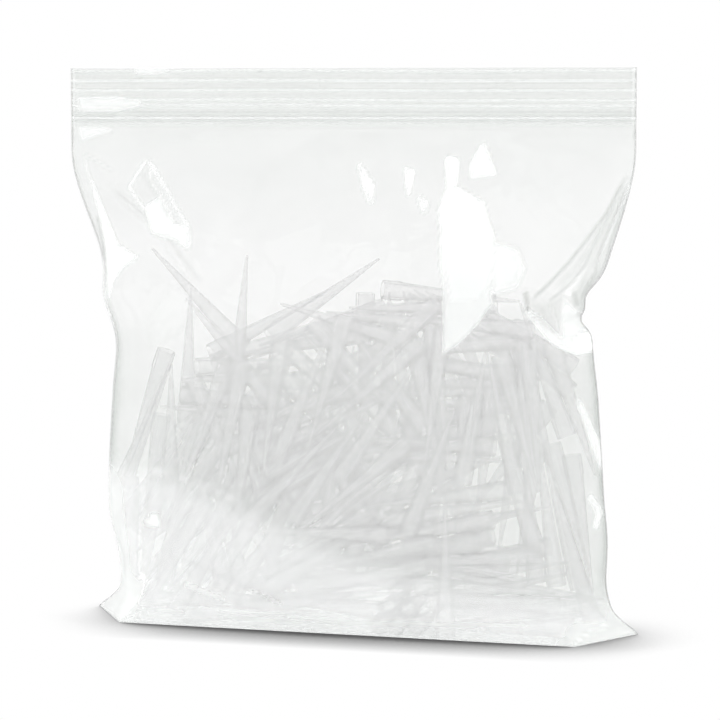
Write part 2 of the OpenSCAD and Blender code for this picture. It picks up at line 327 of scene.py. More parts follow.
def nearest_on(x: Array, z: Array, start: Pair, end: Pair) -> tuple[Array, Array]:
    """Distance to a segment, and the share of it where the nearest point lies.

    Args:
        x: places.
        z: heights.
        start: one end of the segment.
        end: its other end.

    Returns:
        The distances and the shares, 0 at start and 1 at end.
    """
    ex, ez = end[0] - start[0], end[1] - start[1]
    share = np.clip(((x - start[0]) * ex + (z - start[1]) * ez) / (ex * ex + ez * ez), 0, 1)
    return np.hypot(x - start[0] - share * ex, z - start[1] - share * ez), share


@dataclass(frozen=True)
class Patch:
    """A flat face of film between straight creases, marked all over and standing a little proud."""

    mark: Mark
    strength: float
    corners: tuple[Pair, ...]
    soft: float = 1.5
    lift: float = 0.0

    def cover(self, x: Array, z: Array) -> Array:
        """Smooth step of the signed distance to the patch's polygon, found by the even-odd rule.

        Args:
            x: places.
            z: heights.

        Returns:
            1 inside, 0 outside.
        """
        distance = np.full_like(x, np.inf)
        inside = np.zeros(x.shape, bool)
        for start, end in segments(self.corners, closed=True):
            distance = np.minimum(distance, nearest_on(x, z, start, end)[0])
            rise = (end[1] - start[1]) or 1.0
            crossing = start[0] + (end[0] - start[0]) * (z - start[1]) / rise
            inside ^= ((start[1] > z) != (end[1] > z)) & (x < crossing)
        return ease(0.5 + np.where(inside, distance, -distance) / self.soft)

    def relief(self, x: Array, z: Array) -> Array:
        """Height over the film: the lift wherever the patch covers it."""
        return self.lift * self.cover(x, z)


@dataclass(frozen=True)
class Fold:
    """A crease along a bent line: a ridge with flanks like a tent's, marked at its crest."""

    mark: Mark
    strength: float
    points: tuple[Pair, ...]
    line: float = 0.7
    height: float = 0.0
    width: float = 3.0
    fade: float = 0.12

    def reach(self, x: Array, z: Array) -> tuple[Array, Array]:
        """Distance to the line, and how full the crease is there: it fades out towards both ends.

        Args:
            x: places.
            z: heights.

        Returns:
            The distances and the fullness, 0 to 1.
        """
        distance = np.full_like(x, np.inf)
        along = np.zeros_like(x)
        parts = segments(self.points, closed=False)
        for number, (start, end) in enumerate(parts):
            away, share = nearest_on(x, z, start, end)
            along = np.where(away < distance, (number + share) / len(parts), along)
            distance = np.minimum(distance, away)
        rise = ease(along / self.fade + FOLD_END)
        fall = ease((1 - along) / self.fade + FOLD_END)
        return distance, rise * fall

    def cover(self, x: Array, z: Array) -> Array:
        """Bell curve of the distance to the line: exp(-(d / line)^2)."""
        distance, full = self.reach(x, z)
        return np.exp(-((distance / self.line) ** 2)) * full

    def relief(self, x: Array, z: Array) -> Array:
        """Height over the film: h exp(-(sqrt(d^2 + line^2) - line) / width)."""
        distance, full = self.reach(x, z)
        flank = (np.sqrt(distance**2 + self.line**2) - self.line) / self.width
        return self.height * np.exp(-flank) * full


@dataclass(frozen=True)
class Crumple:
    """All-over creasing: folded waves of many directions, whose crests are sharp."""

    seed: int
    slope: float = 0.035
    count: int = 9
    shortest: float = 14.0
    longest: float = 55.0
    bend_share: float = 0.12
    bend_length: float = 1.3
    patch_length: float = 0.9

    def relief(self, x: Array, z: Array) -> Array:
        """Sum of zigzag waves |fract(k.p) - 1/2|, each bent by one sine and faded by another.

        Args:
            x: places.
            z: heights.

        Returns:
            The relief, outward positive, with a mean near zero.
        """
        rng = np.random.default_rng(self.seed)
        total = np.zeros_like(x)
        for _ in range(self.count):
            angle, phase, patch_angle, patch_phase = rng.uniform(0, 2 * math.pi, 4)
            length = rng.uniform(self.shortest, self.longest)
            across = x * math.cos(patch_angle) + z * math.sin(patch_angle)
            bend = np.sin(across / (self.bend_length * length) + patch_phase)
            bend = self.bend_share * length * bend
            along = (x * math.cos(angle) + z * math.sin(angle) + bend) / length + phase
            zigzag = np.abs(along - np.floor(along) - 0.5) - 0.25
            beside = z * math.cos(patch_angle) - x * math.sin(patch_angle)
            patch = 0.5 + 0.5 * np.sin(beside / (self.patch_length * length) + phase)
            total += self.slope * length * zigzag * patch
        return total


# ---- Meshes ----


def mesh_object(name: str, vertices: Array, quads: Array) -> Piece:
    """Makes a smooth-shaded mesh of four-sided faces at the origin.

    Args:
        name: name of the piece.
        vertices: points in millimetres, with X, Y, Z in the last axis.
        quads: four vertex numbers per row, counter-clockwise seen from outside.

    Returns:
        The new object, linked to the scene.
    """
    mesh = bpy.data.meshes.new(name)
    mesh.vertices.add(vertices.size // 3)
    mesh.vertices.foreach_set("co", (vertices * MM).astype(np.float32).ravel())
    mesh.loops.add(quads.size)
    mesh.loops.foreach_set("vertex_index", quads.astype(np.int32).ravel())
    mesh.polygons.add(len(quads))
    mesh.polygons.foreach_set("loop_start", np.arange(len(quads), dtype=np.int32) * 4)
    mesh.polygons.foreach_set("use_smooth", np.ones(len(quads), bool))
    mesh.update(calc_edges=True)
    mesh.validate()
    piece = bpy.data.objects.new(name, mesh)
    bpy.context.scene.collection.objects.link(piece)
    return piece


def grid_quads(rows: int, columns: int) -> Array:
    """Vertex numbers of the faces of a grid, row by row, turning from columns to rows."""
    first = np.arange((rows - 1) * columns).reshape(rows - 1, columns)[:, :-1].ravel()
    return np.stack([first, first + 1, first + columns + 1, first + columns], axis=1)


def tube_quads(rings: int, around: int) -> Array:
    """Vertex numbers of the faces of a tube of rings, each joined to the next, with both ends shut.

    Args:
        rings: number of rings.
        around: points in a ring, an even number, because a fan of four-sided faces shuts each end.

    Returns:
        Four vertex numbers per row.
    """
    ring = np.arange(around)
    first = (np.arange(rings - 1)[:, None] * around + ring).ravel()
    after = (np.arange(rings - 1)[:, None] * around + (ring + 1) % around).ravel()
    walls = np.stack([first, after, after + around, first + around], axis=1)
    fan = np.arange(1, around - 1, 2)
    end = np.stack([np.zeros_like(fan), fan, fan + 1, fan + 2], axis=1)
    return np.concatenate([walls, end[:, ::-1], end + (rings - 1) * around])


def merge_points(piece: Piece) -> None:
    """Joins the points of a mesh that lie in one place, so that its poles are closed.

    Args:
        piece: the mesh's object.
    """
    shape = bmesh.new()
    shape.from_mesh(piece.data)
    bmesh.ops.remove_doubles(shape, verts=shape.verts, dist=ONE_POINT)
    shape.to_mesh(piece.data)
    shape.free()


def thicken(piece: Piece, thickness: float) -> None:
    """Gives a sheet its thickness, inward from its outer skin.

    Args:
        piece: the sheet's object.
        thickness: thickness in millimetres.
    """
    solid = piece.modifiers.new("thickness", "SOLIDIFY")
    solid.thickness = thickness * MM
    solid.offset = -1.0
    solid.use_even_offset = False


# ---- Shader expressions ----


class Value:
    """A number or colour inside a material, whose operators add Math nodes."""

    def __init__(self, graph: Graph, socket: bpy.types.NodeSocket) -> None:
        """Wraps the output socket of a node of that graph."""
        self.graph = graph
        self.socket = socket

    def _math(self, operation: str, *operands: Value | float) -> Value:
        """Result of a Math node with the operands as its inputs in order."""
        return self.graph.add("ShaderNodeMath", {"operation": operation}, dict(enumerate(operands)))

    def __add__(self, other: Value | float) -> Value:
        """Sum."""
        return self._math("ADD", self, other)

    __radd__ = __add__

    def __sub__(self, other: Value | float) -> Value:
        """Difference."""
        return self._math("SUBTRACT", self, other)

    def __rsub__(self, other: Value | float) -> Value:
        """Difference from a number."""
        return self._math("SUBTRACT", other, self)

    def __mul__(self, other: Value | float) -> Value:
        """Product."""
        return self._math("MULTIPLY", self, other)

    __rmul__ = __mul__

    def __pow__(self, other: Value | float) -> Value:
        """Power."""
        return self._math("POWER", self, other)

    def held(self) -> Value:
        """This value held between 0 and 1."""
        return self._math("MAXIMUM", self._math("MINIMUM", self, 1.0), 0.0)

    def step(self, low: float, high: float, kind: str = "SMOOTHSTEP") -> Value:
        """Smooth or LINEAR step from 0 at low to 1 at high, held outside them."""
        settings = {"interpolation_type": kind}
        inputs = {"Value": self, "From Min": low, "From Max": high}
        return self.graph.add("ShaderNodeMapRange", settings, inputs)


class Graph:
    """The node tree of one material, world or lamp."""

    def __init__(self, tree: bpy.types.NodeTree) -> None:
        """Takes over a node tree and empties it."""
        self.tree = tree
        self.tree.nodes.clear()

    def add(
        self,
        kind: str,
        settings: dict[str, object] | None = None,
        inputs: dict[str | int, object] | None = None,
        output: str | int = 0,
    ) -> Value:
        """Adds a node of any kind.

        Args:
            kind: the node's type.
            settings: properties of the node, set first.
            inputs: values or links by socket name or number.
            output: the output that is returned.

        Returns:
            That output, ready for more shader maths.
        """
        node = self.tree.nodes.new(kind)
        for name, setting in (settings or {}).items():
            setattr(node, name, setting)
        for name, given in (inputs or {}).items():
            socket = node.inputs[name]
            if isinstance(given, Value):
                self.tree.links.new(given.socket, socket)
            else:
                socket.default_value = given
        return Value(self, node.outputs[output] if len(node.outputs) else None)

    def noise(self, scale: float, detail: float, stretch: Triple) -> Value:
        """Cloudy noise on Object coordinates, which stay with the piece.

        Args:
            scale: clouds per metre.
            detail: octaves.
            stretch: scale of each axis first, to draw the clouds out.

        Returns:
            A number around one half.
        """
        place = self.add("ShaderNodeTexCoord", output="Object")
        mapped = self.add("ShaderNodeMapping", None, {"Vector": place, "Scale": stretch})
        inputs = {"Vector": mapped, "Scale": scale, "Detail": detail}
        return self.add("ShaderNodeTexNoise", None, inputs)

    def facing(self) -> Value:
        """How far the surface is turned from the eye: 0 head on and 1 at its outline."""
        return self.add("ShaderNodeLayerWeight", None, {"Blend": 0.5}, "Facing")

    def tint(self, share: Value, first: Value | Colour, second: Value | Colour) -> Value:
        """Mix of two colours, given or linked, by the share of the second, 0 to 1."""
        low, high = (
            given if isinstance(given, Value) else (*given, 1.0) for given in (first, second)
        )
        return self.add("ShaderNodeMix", {"data_type": "RGBA"}, {0: share, 6: low, 7: high}, 2)

    def seen_rays(self) -> Value:
        """1 for what the eye sees, straight, mirrored or through plastic, and 0 for light."""
        names = ("Is Camera Ray", "Is Glossy Ray", "Is Transmission Ray")
        return sum(self.add("ShaderNodeLightPath", output=name) for name in names).held()

    def blend(self, share: Value | float, first: Value, second: Value) -> Value:
        """Mix Shader of two shaders."""
        return self.add("ShaderNodeMixShader", None, {0: share, 1: first, 2: second})


def new_material(name: str) -> tuple[bpy.types.Material, Graph]:
    """Makes an empty node material.

    Args:
        name: its name.

    Returns:
        The material and its graph.
    """
    made = bpy.data.materials.new(name)
    made.use_nodes = True
    return made, Graph(made.node_tree)


# ---- Finishes ----


@dataclass(frozen=True)
class ClearPlastic:
    """A thin clear plastic: it lets most light through, veils a little and mirrors a little.

    Seen at a slant the plastic is longer, so the veil thickens towards outlines, and its colour
    goes over to a darker outline colour, a painted shade for the light that real plastic bends
    away there. On a marked piece, creases are painted whiter, with haze and painted highlights,
    or greyer, with painted shade.
    """

    name: str
    colour: Colour
    outline_shade: Colour
    veil: float
    veil_edge: float
    shine: float
    shine_roughness: float
    cloud_scale: float = 0.0
    cloud_share: float = 0.0
    ripple_scale: float = 0.0
    ripple: float = 0.0
    stretch: Triple = (1.0, 1.0, 1.0)
    outline: Pair = (0.25, 1.0)
    body_roughness: float = 0.5
    marked: bool = False
    haze_and_highlight_colour: Colour = (0.97, 0.99, 0.98)
    haze_and_highlight_tint: float = 6.0
    shade_colour: Colour = (0.30, 0.30, 0.29)
    shade_tint: float = 3.0

    def material(self) -> bpy.types.Material:
        """Builds the material.

        Returns:
            A material with a see-through share, a pale diffuse share and a mirror share.
        """
        made, graph = new_material(self.name)
        facing = graph.facing()
        relief = {}
        if self.ripple:
            ripples = graph.noise(self.ripple_scale, 1.0, self.stretch)
            inputs = {"Strength": 1.0, "Distance": self.ripple * MM, "Height": ripples}
            relief["Normal"] = graph.add("ShaderNodeBump", None, inputs)
        slanted = facing.step(*self.outline)
        veil = (self.veil_edge - self.veil) * slanted + self.veil
        if self.cloud_share:
            clouds = graph.noise(self.cloud_scale, 0.0, self.stretch)
            veil = veil * (1 + (clouds - 0.5) * (2 * self.cloud_share))
        # Towards outlines the colour darkens: a painted shade for light that the plastic bends
        # away.
        colour = graph.tint(slanted, self.colour, self.outline_shade)
        if self.marked:
            marks = graph.add("ShaderNodeAttribute", {"attribute_name": MARKS}, None, "Color")
            haze_and_highlight = graph.add("ShaderNodeSeparateColor", None, {"Color": marks}, "Red")
            shade = graph.add("ShaderNodeSeparateColor", None, {"Color": marks}, "Green")
            clearer = graph.add("ShaderNodeSeparateColor", None, {"Color": marks}, "Blue")
            # Haze marks paint creases and highlights white, and shade marks paint shade grey.
            colour = graph.tint((haze_and_highlight * self.haze_and_highlight_tint).held(), colour, self.haze_and_highlight_colour)
            colour = graph.tint((shade * self.shade_tint).held(), colour, self.shade_colour)
            veil = veil * (1 - clearer) + haze_and_highlight + shade
        inputs = {"Base Color": colour, "Roughness": self.body_roughness, "Specular IOR Level": 0.0}
        body = graph.add("ShaderNodeBsdfPrincipled", None, {**inputs, **relief})
        clear = graph.add("ShaderNodeBsdfTransparent", None, {"Color": (*WHITE, 1.0)})
        inputs = {"Color": (*WHITE, 1.0), "Roughness": self.shine_roughness}
        gloss = graph.add("ShaderNodeBsdfAnisotropic", None, {**inputs, **relief})
        inner = graph.blend(veil.held(), clear, body)
        mirror = ((1 - self.shine) * facing**SCHLICK_POWER + self.shine).held()
        graph.add("ShaderNodeOutputMaterial", None, {"Surface": graph.blend(mirror, inner, gloss)})
        return made


FILM = ClearPlastic(
    "clear_film",
    colour=(0.47, 0.53, 0.48),
    outline_shade=(0.36, 0.39, 0.37),
    veil=0.055, veil_edge=0.35,
    shine=0.035, shine_roughness=0.045,
    cloud_scale=60, cloud_share=0.3,
    ripple_scale=220, ripple=0.05,
    marked=True,
)
BASE_FILM = ClearPlastic(
    "folded_base_film",
    colour=(0.84, 0.87, 0.85),
    outline_shade=(0.84, 0.87, 0.85),
    veil=0.29, veil_edge=0.45,
    shine=0.03, shine_roughness=0.12,
    cloud_scale=90, cloud_share=0.25,
    ripple_scale=260, ripple=0.06,
)
WELD = ClearPlastic(
    "side_weld",
    colour=(0.42, 0.43, 0.42),
    outline_shade=(0.30, 0.31, 0.30),
    veil=0.22, veil_edge=0.6,
    shine=0.04, shine_roughness=0.15,
    cloud_scale=400, cloud_share=0.3,
    ripple_scale=900, ripple=0.05,
)
ZIP = ClearPlastic(
    "zip_strip",
    colour=(0.70, 0.73, 0.71),
    outline_shade=(0.54, 0.56, 0.55),
    veil=0.05, veil_edge=0.3,
    shine=0.03, shine_roughness=0.1,
    cloud_scale=120, cloud_share=0.2,
    ripple_scale=300, ripple=0.04,
    stretch=(0.15, 1.0, 1.0),
)
TIP = ClearPlastic(
    "tip_polypropylene",
    colour=(0.74, 0.74, 0.74),
    outline_shade=(0.37, 0.37, 0.37),
    veil=0.17, veil_edge=0.5,
    shine=0.045, shine_roughness=0.11,
    outline=(0.35, 0.85),
)
# Tips that lie front to back are seen end on, where the painted outline shade and the veil pile
# up; this paler copy of the tip plastic, with a lighter outline shade, offsets that.
LIGHTENED_END_ON_TIP = ClearPlastic(
    "lightened_end_on_tip_polypropylene",
    colour=(0.82, 0.82, 0.82),
    outline_shade=(0.62, 0.62, 0.62),
    veil=0.07, veil_edge=0.2,
    shine=0.03, shine_roughness=0.15,
    outline=(0.35, 0.85),
)


# ---- The pouch ----

HAZE_AND_HIGHLIGHT, SHADE, CLEARER = Mark
Creases = tuple[Patch | Fold, ...]

# The front film veils less between the heap and the zip, so it reads lighter there.
FRONT_CLEARER_ZONE: Creases = (
    Patch(CLEARER, 0.95, ((-120, 158), (120, 158), (120, 100), (-120, 100)), 50.0),
)
# Flat faces above the heap that shine: painted highlights, white where they would mirror light.
MOUTH_PAINTED_HIGHLIGHTS: Creases = (
    Patch(HAZE_AND_HIGHLIGHT, 1.0, (
        (35, 158), (41, 155), (47, 152), (49, 147), (52, 141), (54, 133), (52, 124), (49, 119),
        (39, 118), (36, 131), (35, 143), (33, 150),
    ), 3.0),
    Patch(HAZE_AND_HIGHLIGHT, 0.65, ((37, 124), (52, 124), (53, 118), (49, 112), (43, 105), (37, 101)), 2.4),
    Patch(HAZE_AND_HIGHLIGHT, 0.75, ((53, 138), (60, 136), (63, 130), (61, 124), (54, 122), (52, 130)), 4.5),
    Patch(HAZE_AND_HIGHLIGHT, 0.6, ((44, 173), (50, 162), (42, 161), (41, 166)), 2.2, 0.1),
    Patch(HAZE_AND_HIGHLIGHT, 0.8, ((32, 168), (36, 167), (37, 158), (34, 159)), 2.0, 0.1),
    Patch(HAZE_AND_HIGHLIGHT, 0.8, ((2, 165), (8, 158), (9, 152), (6, 156)), 2.0, 0.1),
    Patch(HAZE_AND_HIGHLIGHT, 0.7, ((18.5, 164), (21.5, 163), (21, 155)), 2.0, 0.1),
    Patch(HAZE_AND_HIGHLIGHT, 0.8, ((25, 154), (28, 152), (28, 149)), 2.0, 0.1),
)
# A folded corner at the upper left of the heap: its face and fold streaks in painted highlight,
# one fold line in painted shade.
LEFT_CORNER: Creases = (
    Patch(HAZE_AND_HIGHLIGHT, 0.9, (
        (-74, 150), (-69, 153), (-63, 144), (-58, 143), (-57, 136), (-62, 139), (-71, 141),
    ), 2.5, 0.2),
    Fold(HAZE_AND_HIGHLIGHT, 0.4, ((-75, 167), (-81, 157), (-77, 152), (-74, 149)), 0.55, 0.1),
    Fold(
        HAZE_AND_HIGHLIGHT, 0.4, ((-75, 167), (-67, 157), (-61, 148), (-57, 143), (-56, 136)), 0.6, 0.12, width=4
    ),
    Fold(HAZE_AND_HIGHLIGHT, 0.25, ((-74, 164), (-72, 158), (-67, 153), (-63, 146)), 0.5, 0.06),
    Fold(SHADE, 0.05, ((-77, 163), (-70, 154), (-65, 147)), 1.0),
)
# The pocket that the heap pushes out at the left edge, and the pulls over it: its white face
# and streaks in painted highlight, its fold lines in painted shade.
LEFT_POCKET: Creases = (
    Patch(HAZE_AND_HIGHLIGHT, 0.85, (
        (-96, 159), (-93, 152), (-89, 142), (-86, 136), (-78, 132), (-85, 128), (-90, 123),
        (-92, 117), (-93, 126), (-92, 136), (-93, 145),
    ), 2.6, 0.1),
    Fold(SHADE, 0.16, ((-95, 147), (-94, 139), (-94, 131), (-94, 123)), 0.9, 0.15),
    Fold(SHADE, 0.08, ((-94, 124), (-93, 112), (-92, 100)), 0.8, 0.1),
    Patch(HAZE_AND_HIGHLIGHT, 0.25, ((-100, 132), (-94, 130), (-92, 108), (-93, 92), (-100, 92)), 2.5),
    Fold(HAZE_AND_HIGHLIGHT, 0.14, ((-100, 169), (-94, 166), (-88, 163)), 0.6, 0.05, width=4),
    Fold(HAZE_AND_HIGHLIGHT, 0.2, ((-99, 167), (-96, 157), (-93, 148)), 0.7, 0.08),
)
# Shining places on the band at the left: painted highlights.
BAND_PAINTED_HIGHLIGHTS: Creases = (
    Patch(HAZE_AND_HIGHLIGHT, 0.8, ((-101, 188), (-88, 188.5), (-80, 187), (-88, 185), (-101, 185)), 4.5),
    Patch(HAZE_AND_HIGHLIGHT, 0.6, ((-81, 200), (-67, 200), (-72, 198), (-80, 197.5)), 3.0),
    Patch(HAZE_AND_HIGHLIGHT, 0.4, ((-101, 178), (-90, 177.5), (-95, 176), (-100, 174)), 5.0),
)
# Long pulls from the right end of the zip down to the heap, drawn as lines of painted shade with
# lines of painted highlight beside them.
RIGHT_PULLS: Creases = (
    Fold(
        SHADE, 0.2, ((94, 161), (89, 149), (83, 139), (78, 132), (72, 125), (66, 119)), 0.65, 0.15
    ),
    Fold(SHADE, 0.07, ((90, 149), (85, 137), (80, 129), (74, 123)), 2.0, width=4),
    Fold(SHADE, 0.16, ((92, 155), (87, 142), (83, 131), (79, 125), (71, 118)), 0.65, 0.12),
    Fold(HAZE_AND_HIGHLIGHT, 0.12, ((91, 152), (86, 140), (81, 130)), 0.8, -0.1),
    Fold(SHADE, 0.15, ((95, 158), (91, 146), (88, 137), (86, 128), (80, 117)), 0.7, 0.1),
    Fold(HAZE_AND_HIGHLIGHT, 0.2, ((96, 160), (92, 148), (89, 138), (86, 130)), 0.7, -0.05),
)
# The pocket at the right edge, where those pulls end: its facet and nicks in painted shade, and
# its white scarf and paler facets in painted highlight.
RIGHT_POCKET: Creases = (
    Patch(SHADE, 0.09, (
        (65, 118), (71, 118.5), (76, 120), (75, 112), (76, 105), (70, 109), (67, 113),
    ), 3.0, 0.1),
    Fold(SHADE, 0.15, ((69, 117), (71, 112), (74, 107)), 0.9, 0.1),
    Fold(HAZE_AND_HIGHLIGHT, 0.15, ((72, 118), (73, 113), (75, 107)), 0.7),
    Patch(HAZE_AND_HIGHLIGHT, 0.95, (
        (64, 116), (66.5, 112), (70, 107.5), (73, 104), (76, 102), (81, 100), (86, 101),
        (87, 113), (84, 112), (83, 107), (79, 105), (76, 105.5), (73, 108), (69, 112.5),
    ), 1.8, 0.15),
    Patch(HAZE_AND_HIGHLIGHT, 0.3, ((76, 120), (80, 115), (84, 110), (80, 105), (76, 105), (75, 112)), 3.0, 0.1),
    Fold(SHADE, 0.2, ((79, 121.5), (80, 116)), 0.9, width=2),
    Fold(SHADE, 0.2, ((80, 114), (83, 109.5)), 1.0, width=2),
    Fold(SHADE, 0.3, ((64, 122), (65, 115)), 0.7, width=2),
)
# The low part of the film, its bends over the base, and both ears: lighter towards the bottom
# and at the lower left, greyer over the ears and the left edge, with fold lines in painted shade
# and painted highlight.
LOW_FILM: Creases = (
    Patch(HAZE_AND_HIGHLIGHT, 0.9, ((-77, 36), (-71, 39), (-70, 35)), 1.6),
    Patch(HAZE_AND_HIGHLIGHT, 0.17, (
        (-120, 56), (-74, 56), (-46, 48), (-32, 43), (-16, 36), (3, 28), (36, 20), (88, 14),
        (120, 14), (120, -30), (-120, -30),
    ), 16.0),
    Patch(HAZE_AND_HIGHLIGHT, 0.2, ((-120, 12), (120, 8), (120, -30), (-120, -30)), 16.0),
    Fold(SHADE, 0.05, ((-80, 58), (-65, 56), (-47, 52), (-35, 47), (-26, 39)), 0.8, 0.1),
    Fold(HAZE_AND_HIGHLIGHT, 0.2, ((-78, 56), (-64, 54), (-47, 50), (-36, 45)), 0.8),
    Fold(SHADE, 0.06, ((-83, 6), (-74, 17), (-67, 24)), 0.8, 0.08),
    Fold(SHADE, 0.06, ((-79, 3), (-74, 12), (-66, 21)), 0.7, 0.08),
    Fold(HAZE_AND_HIGHLIGHT, 0.2, ((-81, 4), (-74, 14.5), (-67, 22)), 0.7),
    Fold(SHADE, 0.06, ((-62, 19.5), (-45, 15), (-30, 11), (-18, 8)), 0.9, 0.1),
    Fold(SHADE, 0.05, ((-70, 33), (-64, 23), (-62, 14)), 0.9, 0.08),
    Fold(SHADE, 0.05, ((-45, 27), (-53, 17), (-58, 8)), 0.9, 0.08),
    Fold(SHADE, 0.04, ((-80, 6), (-20, 3.5), (30, 5), (85, 4)), 1.1, 0.05),
    Fold(HAZE_AND_HIGHLIGHT, 0.25, ((-60, 7), (-25, 6), (10, 4.5), (80, 7)), 1.1, 0.05),
    Fold(SHADE, 0.04, ((-30, 12), (30, 13), (80, 9)), 1.1, 0.05),
    Fold(HAZE_AND_HIGHLIGHT, 0.12, ((62, 20), (70, 11), (75, 4)), 0.8, 0.1),
    Fold(HAZE_AND_HIGHLIGHT, 0.5, ((81, 84), (84, 76), (87, 66), (89, 58)), 0.9, 0.1),
    Fold(HAZE_AND_HIGHLIGHT, 0.4, ((85, 50), (88, 44), (87, 38)), 0.9, 0.1),
    Fold(HAZE_AND_HIGHLIGHT, 0.5, ((83, 0.2), (85, 2), (87.5, 3.6), (92, 4.2)), 0.7, 0.05, width=2),
    Patch(SHADE, 0.08, ((-115, 16), (-86, 14), (-82, -6), (-115, -6)), 8.0),
    Patch(SHADE, 0.04, ((-110, 62), (-90, 60), (-86, 30), (-84, 12), (-110, 12)), 5.0),
    Patch(SHADE, 0.06, ((80, 12), (115, 14), (115, -6), (77, -6)), 8.0),
    Fold(HAZE_AND_HIGHLIGHT, 0.3, ((-60, 15), (-50, 12), (-43, 10)), 1.4),
    Fold(SHADE, 0.08, ((-62, 24), (-40, 17), (-20, 9)), 1.2, 0.1),
)
FRONT_CREASES: Creases = (
    FRONT_CLEARER_ZONE + MOUTH_PAINTED_HIGHLIGHTS + LEFT_CORNER + LEFT_POCKET
    + BAND_PAINTED_HIGHLIGHTS + RIGHT_PULLS + RIGHT_POCKET + LOW_FILM
)
# Lines across the band where the two walls of the press-to-close zip and the wavy ribs above it
# are: painted highlights as light lines and painted shade as dark lines.
BAND_LINES: Creases = (
    *(
        Fold(SHADE, strength, ((-110, z), (110, z)), 0.5, 0, 1, 0.01)
        for z, strength in ((183.8, 0.05), (182.5, 0.06), (180.8, 0.06), (178.9, 0.03))
    ),
    *(
        Fold(HAZE_AND_HIGHLIGHT, strength, ((-110, z), (110, z)), 0.45, 0, 1, 0.01)
        for z, strength in ((181.6, 0.25), (179.9, 0.12))
    ),
    *(
        Fold(HAZE_AND_HIGHLIGHT, 0.16, ((-110, z), (-40, z + 0.3), (30, z - 0.2), (110, z)), 0.6, 0, 1, 0.01)
        for z in (186.1, 188.1, 191.5, 195.0, 198.5)
    ),
    *(
        Fold(SHADE, 0.015, ((-110, z), (-50, z - 0.2), (40, z + 0.3), (110, z)), 0.6, 0, 1, 0.01)
        for z in (189.8, 193.2, 197.0)
    ),
)
# The back film: fold lines in painted shade and painted highlight, a lighter strip at the base, and
# a greyer zone behind the heap, painted shade that fills the gaps between the tips.
BACK_CREASES: Creases = (
    Fold(SHADE, 0.06, ((-94, 158), (-78, 136), (-68, 120)), 1.0, 0.15),
    Fold(SHADE, 0.10, ((94, 160), (84, 137), (76, 118)), 1.2, 0.2),
    Fold(HAZE_AND_HIGHLIGHT, 0.15, ((-92, 154), (-80, 138), (-72, 121)), 1.2, -0.1),
    Patch(HAZE_AND_HIGHLIGHT, 0.12, ((-84, 97), (-86, 106), (-79, 119), (-66, 113), (-72, 104)), 5.0, 0.1),
    Patch(HAZE_AND_HIGHLIGHT, 0.1, ((-120, 9), (120, 9), (120, -30), (-120, -30)), 16.0),
    Patch(SHADE, 0.06, (
        (-82, 12), (-84, 76), (-60, 90), (-35, 94), (0, 108), (60, 110), (78, 92), (84, 12),
    ), 14.0),
)


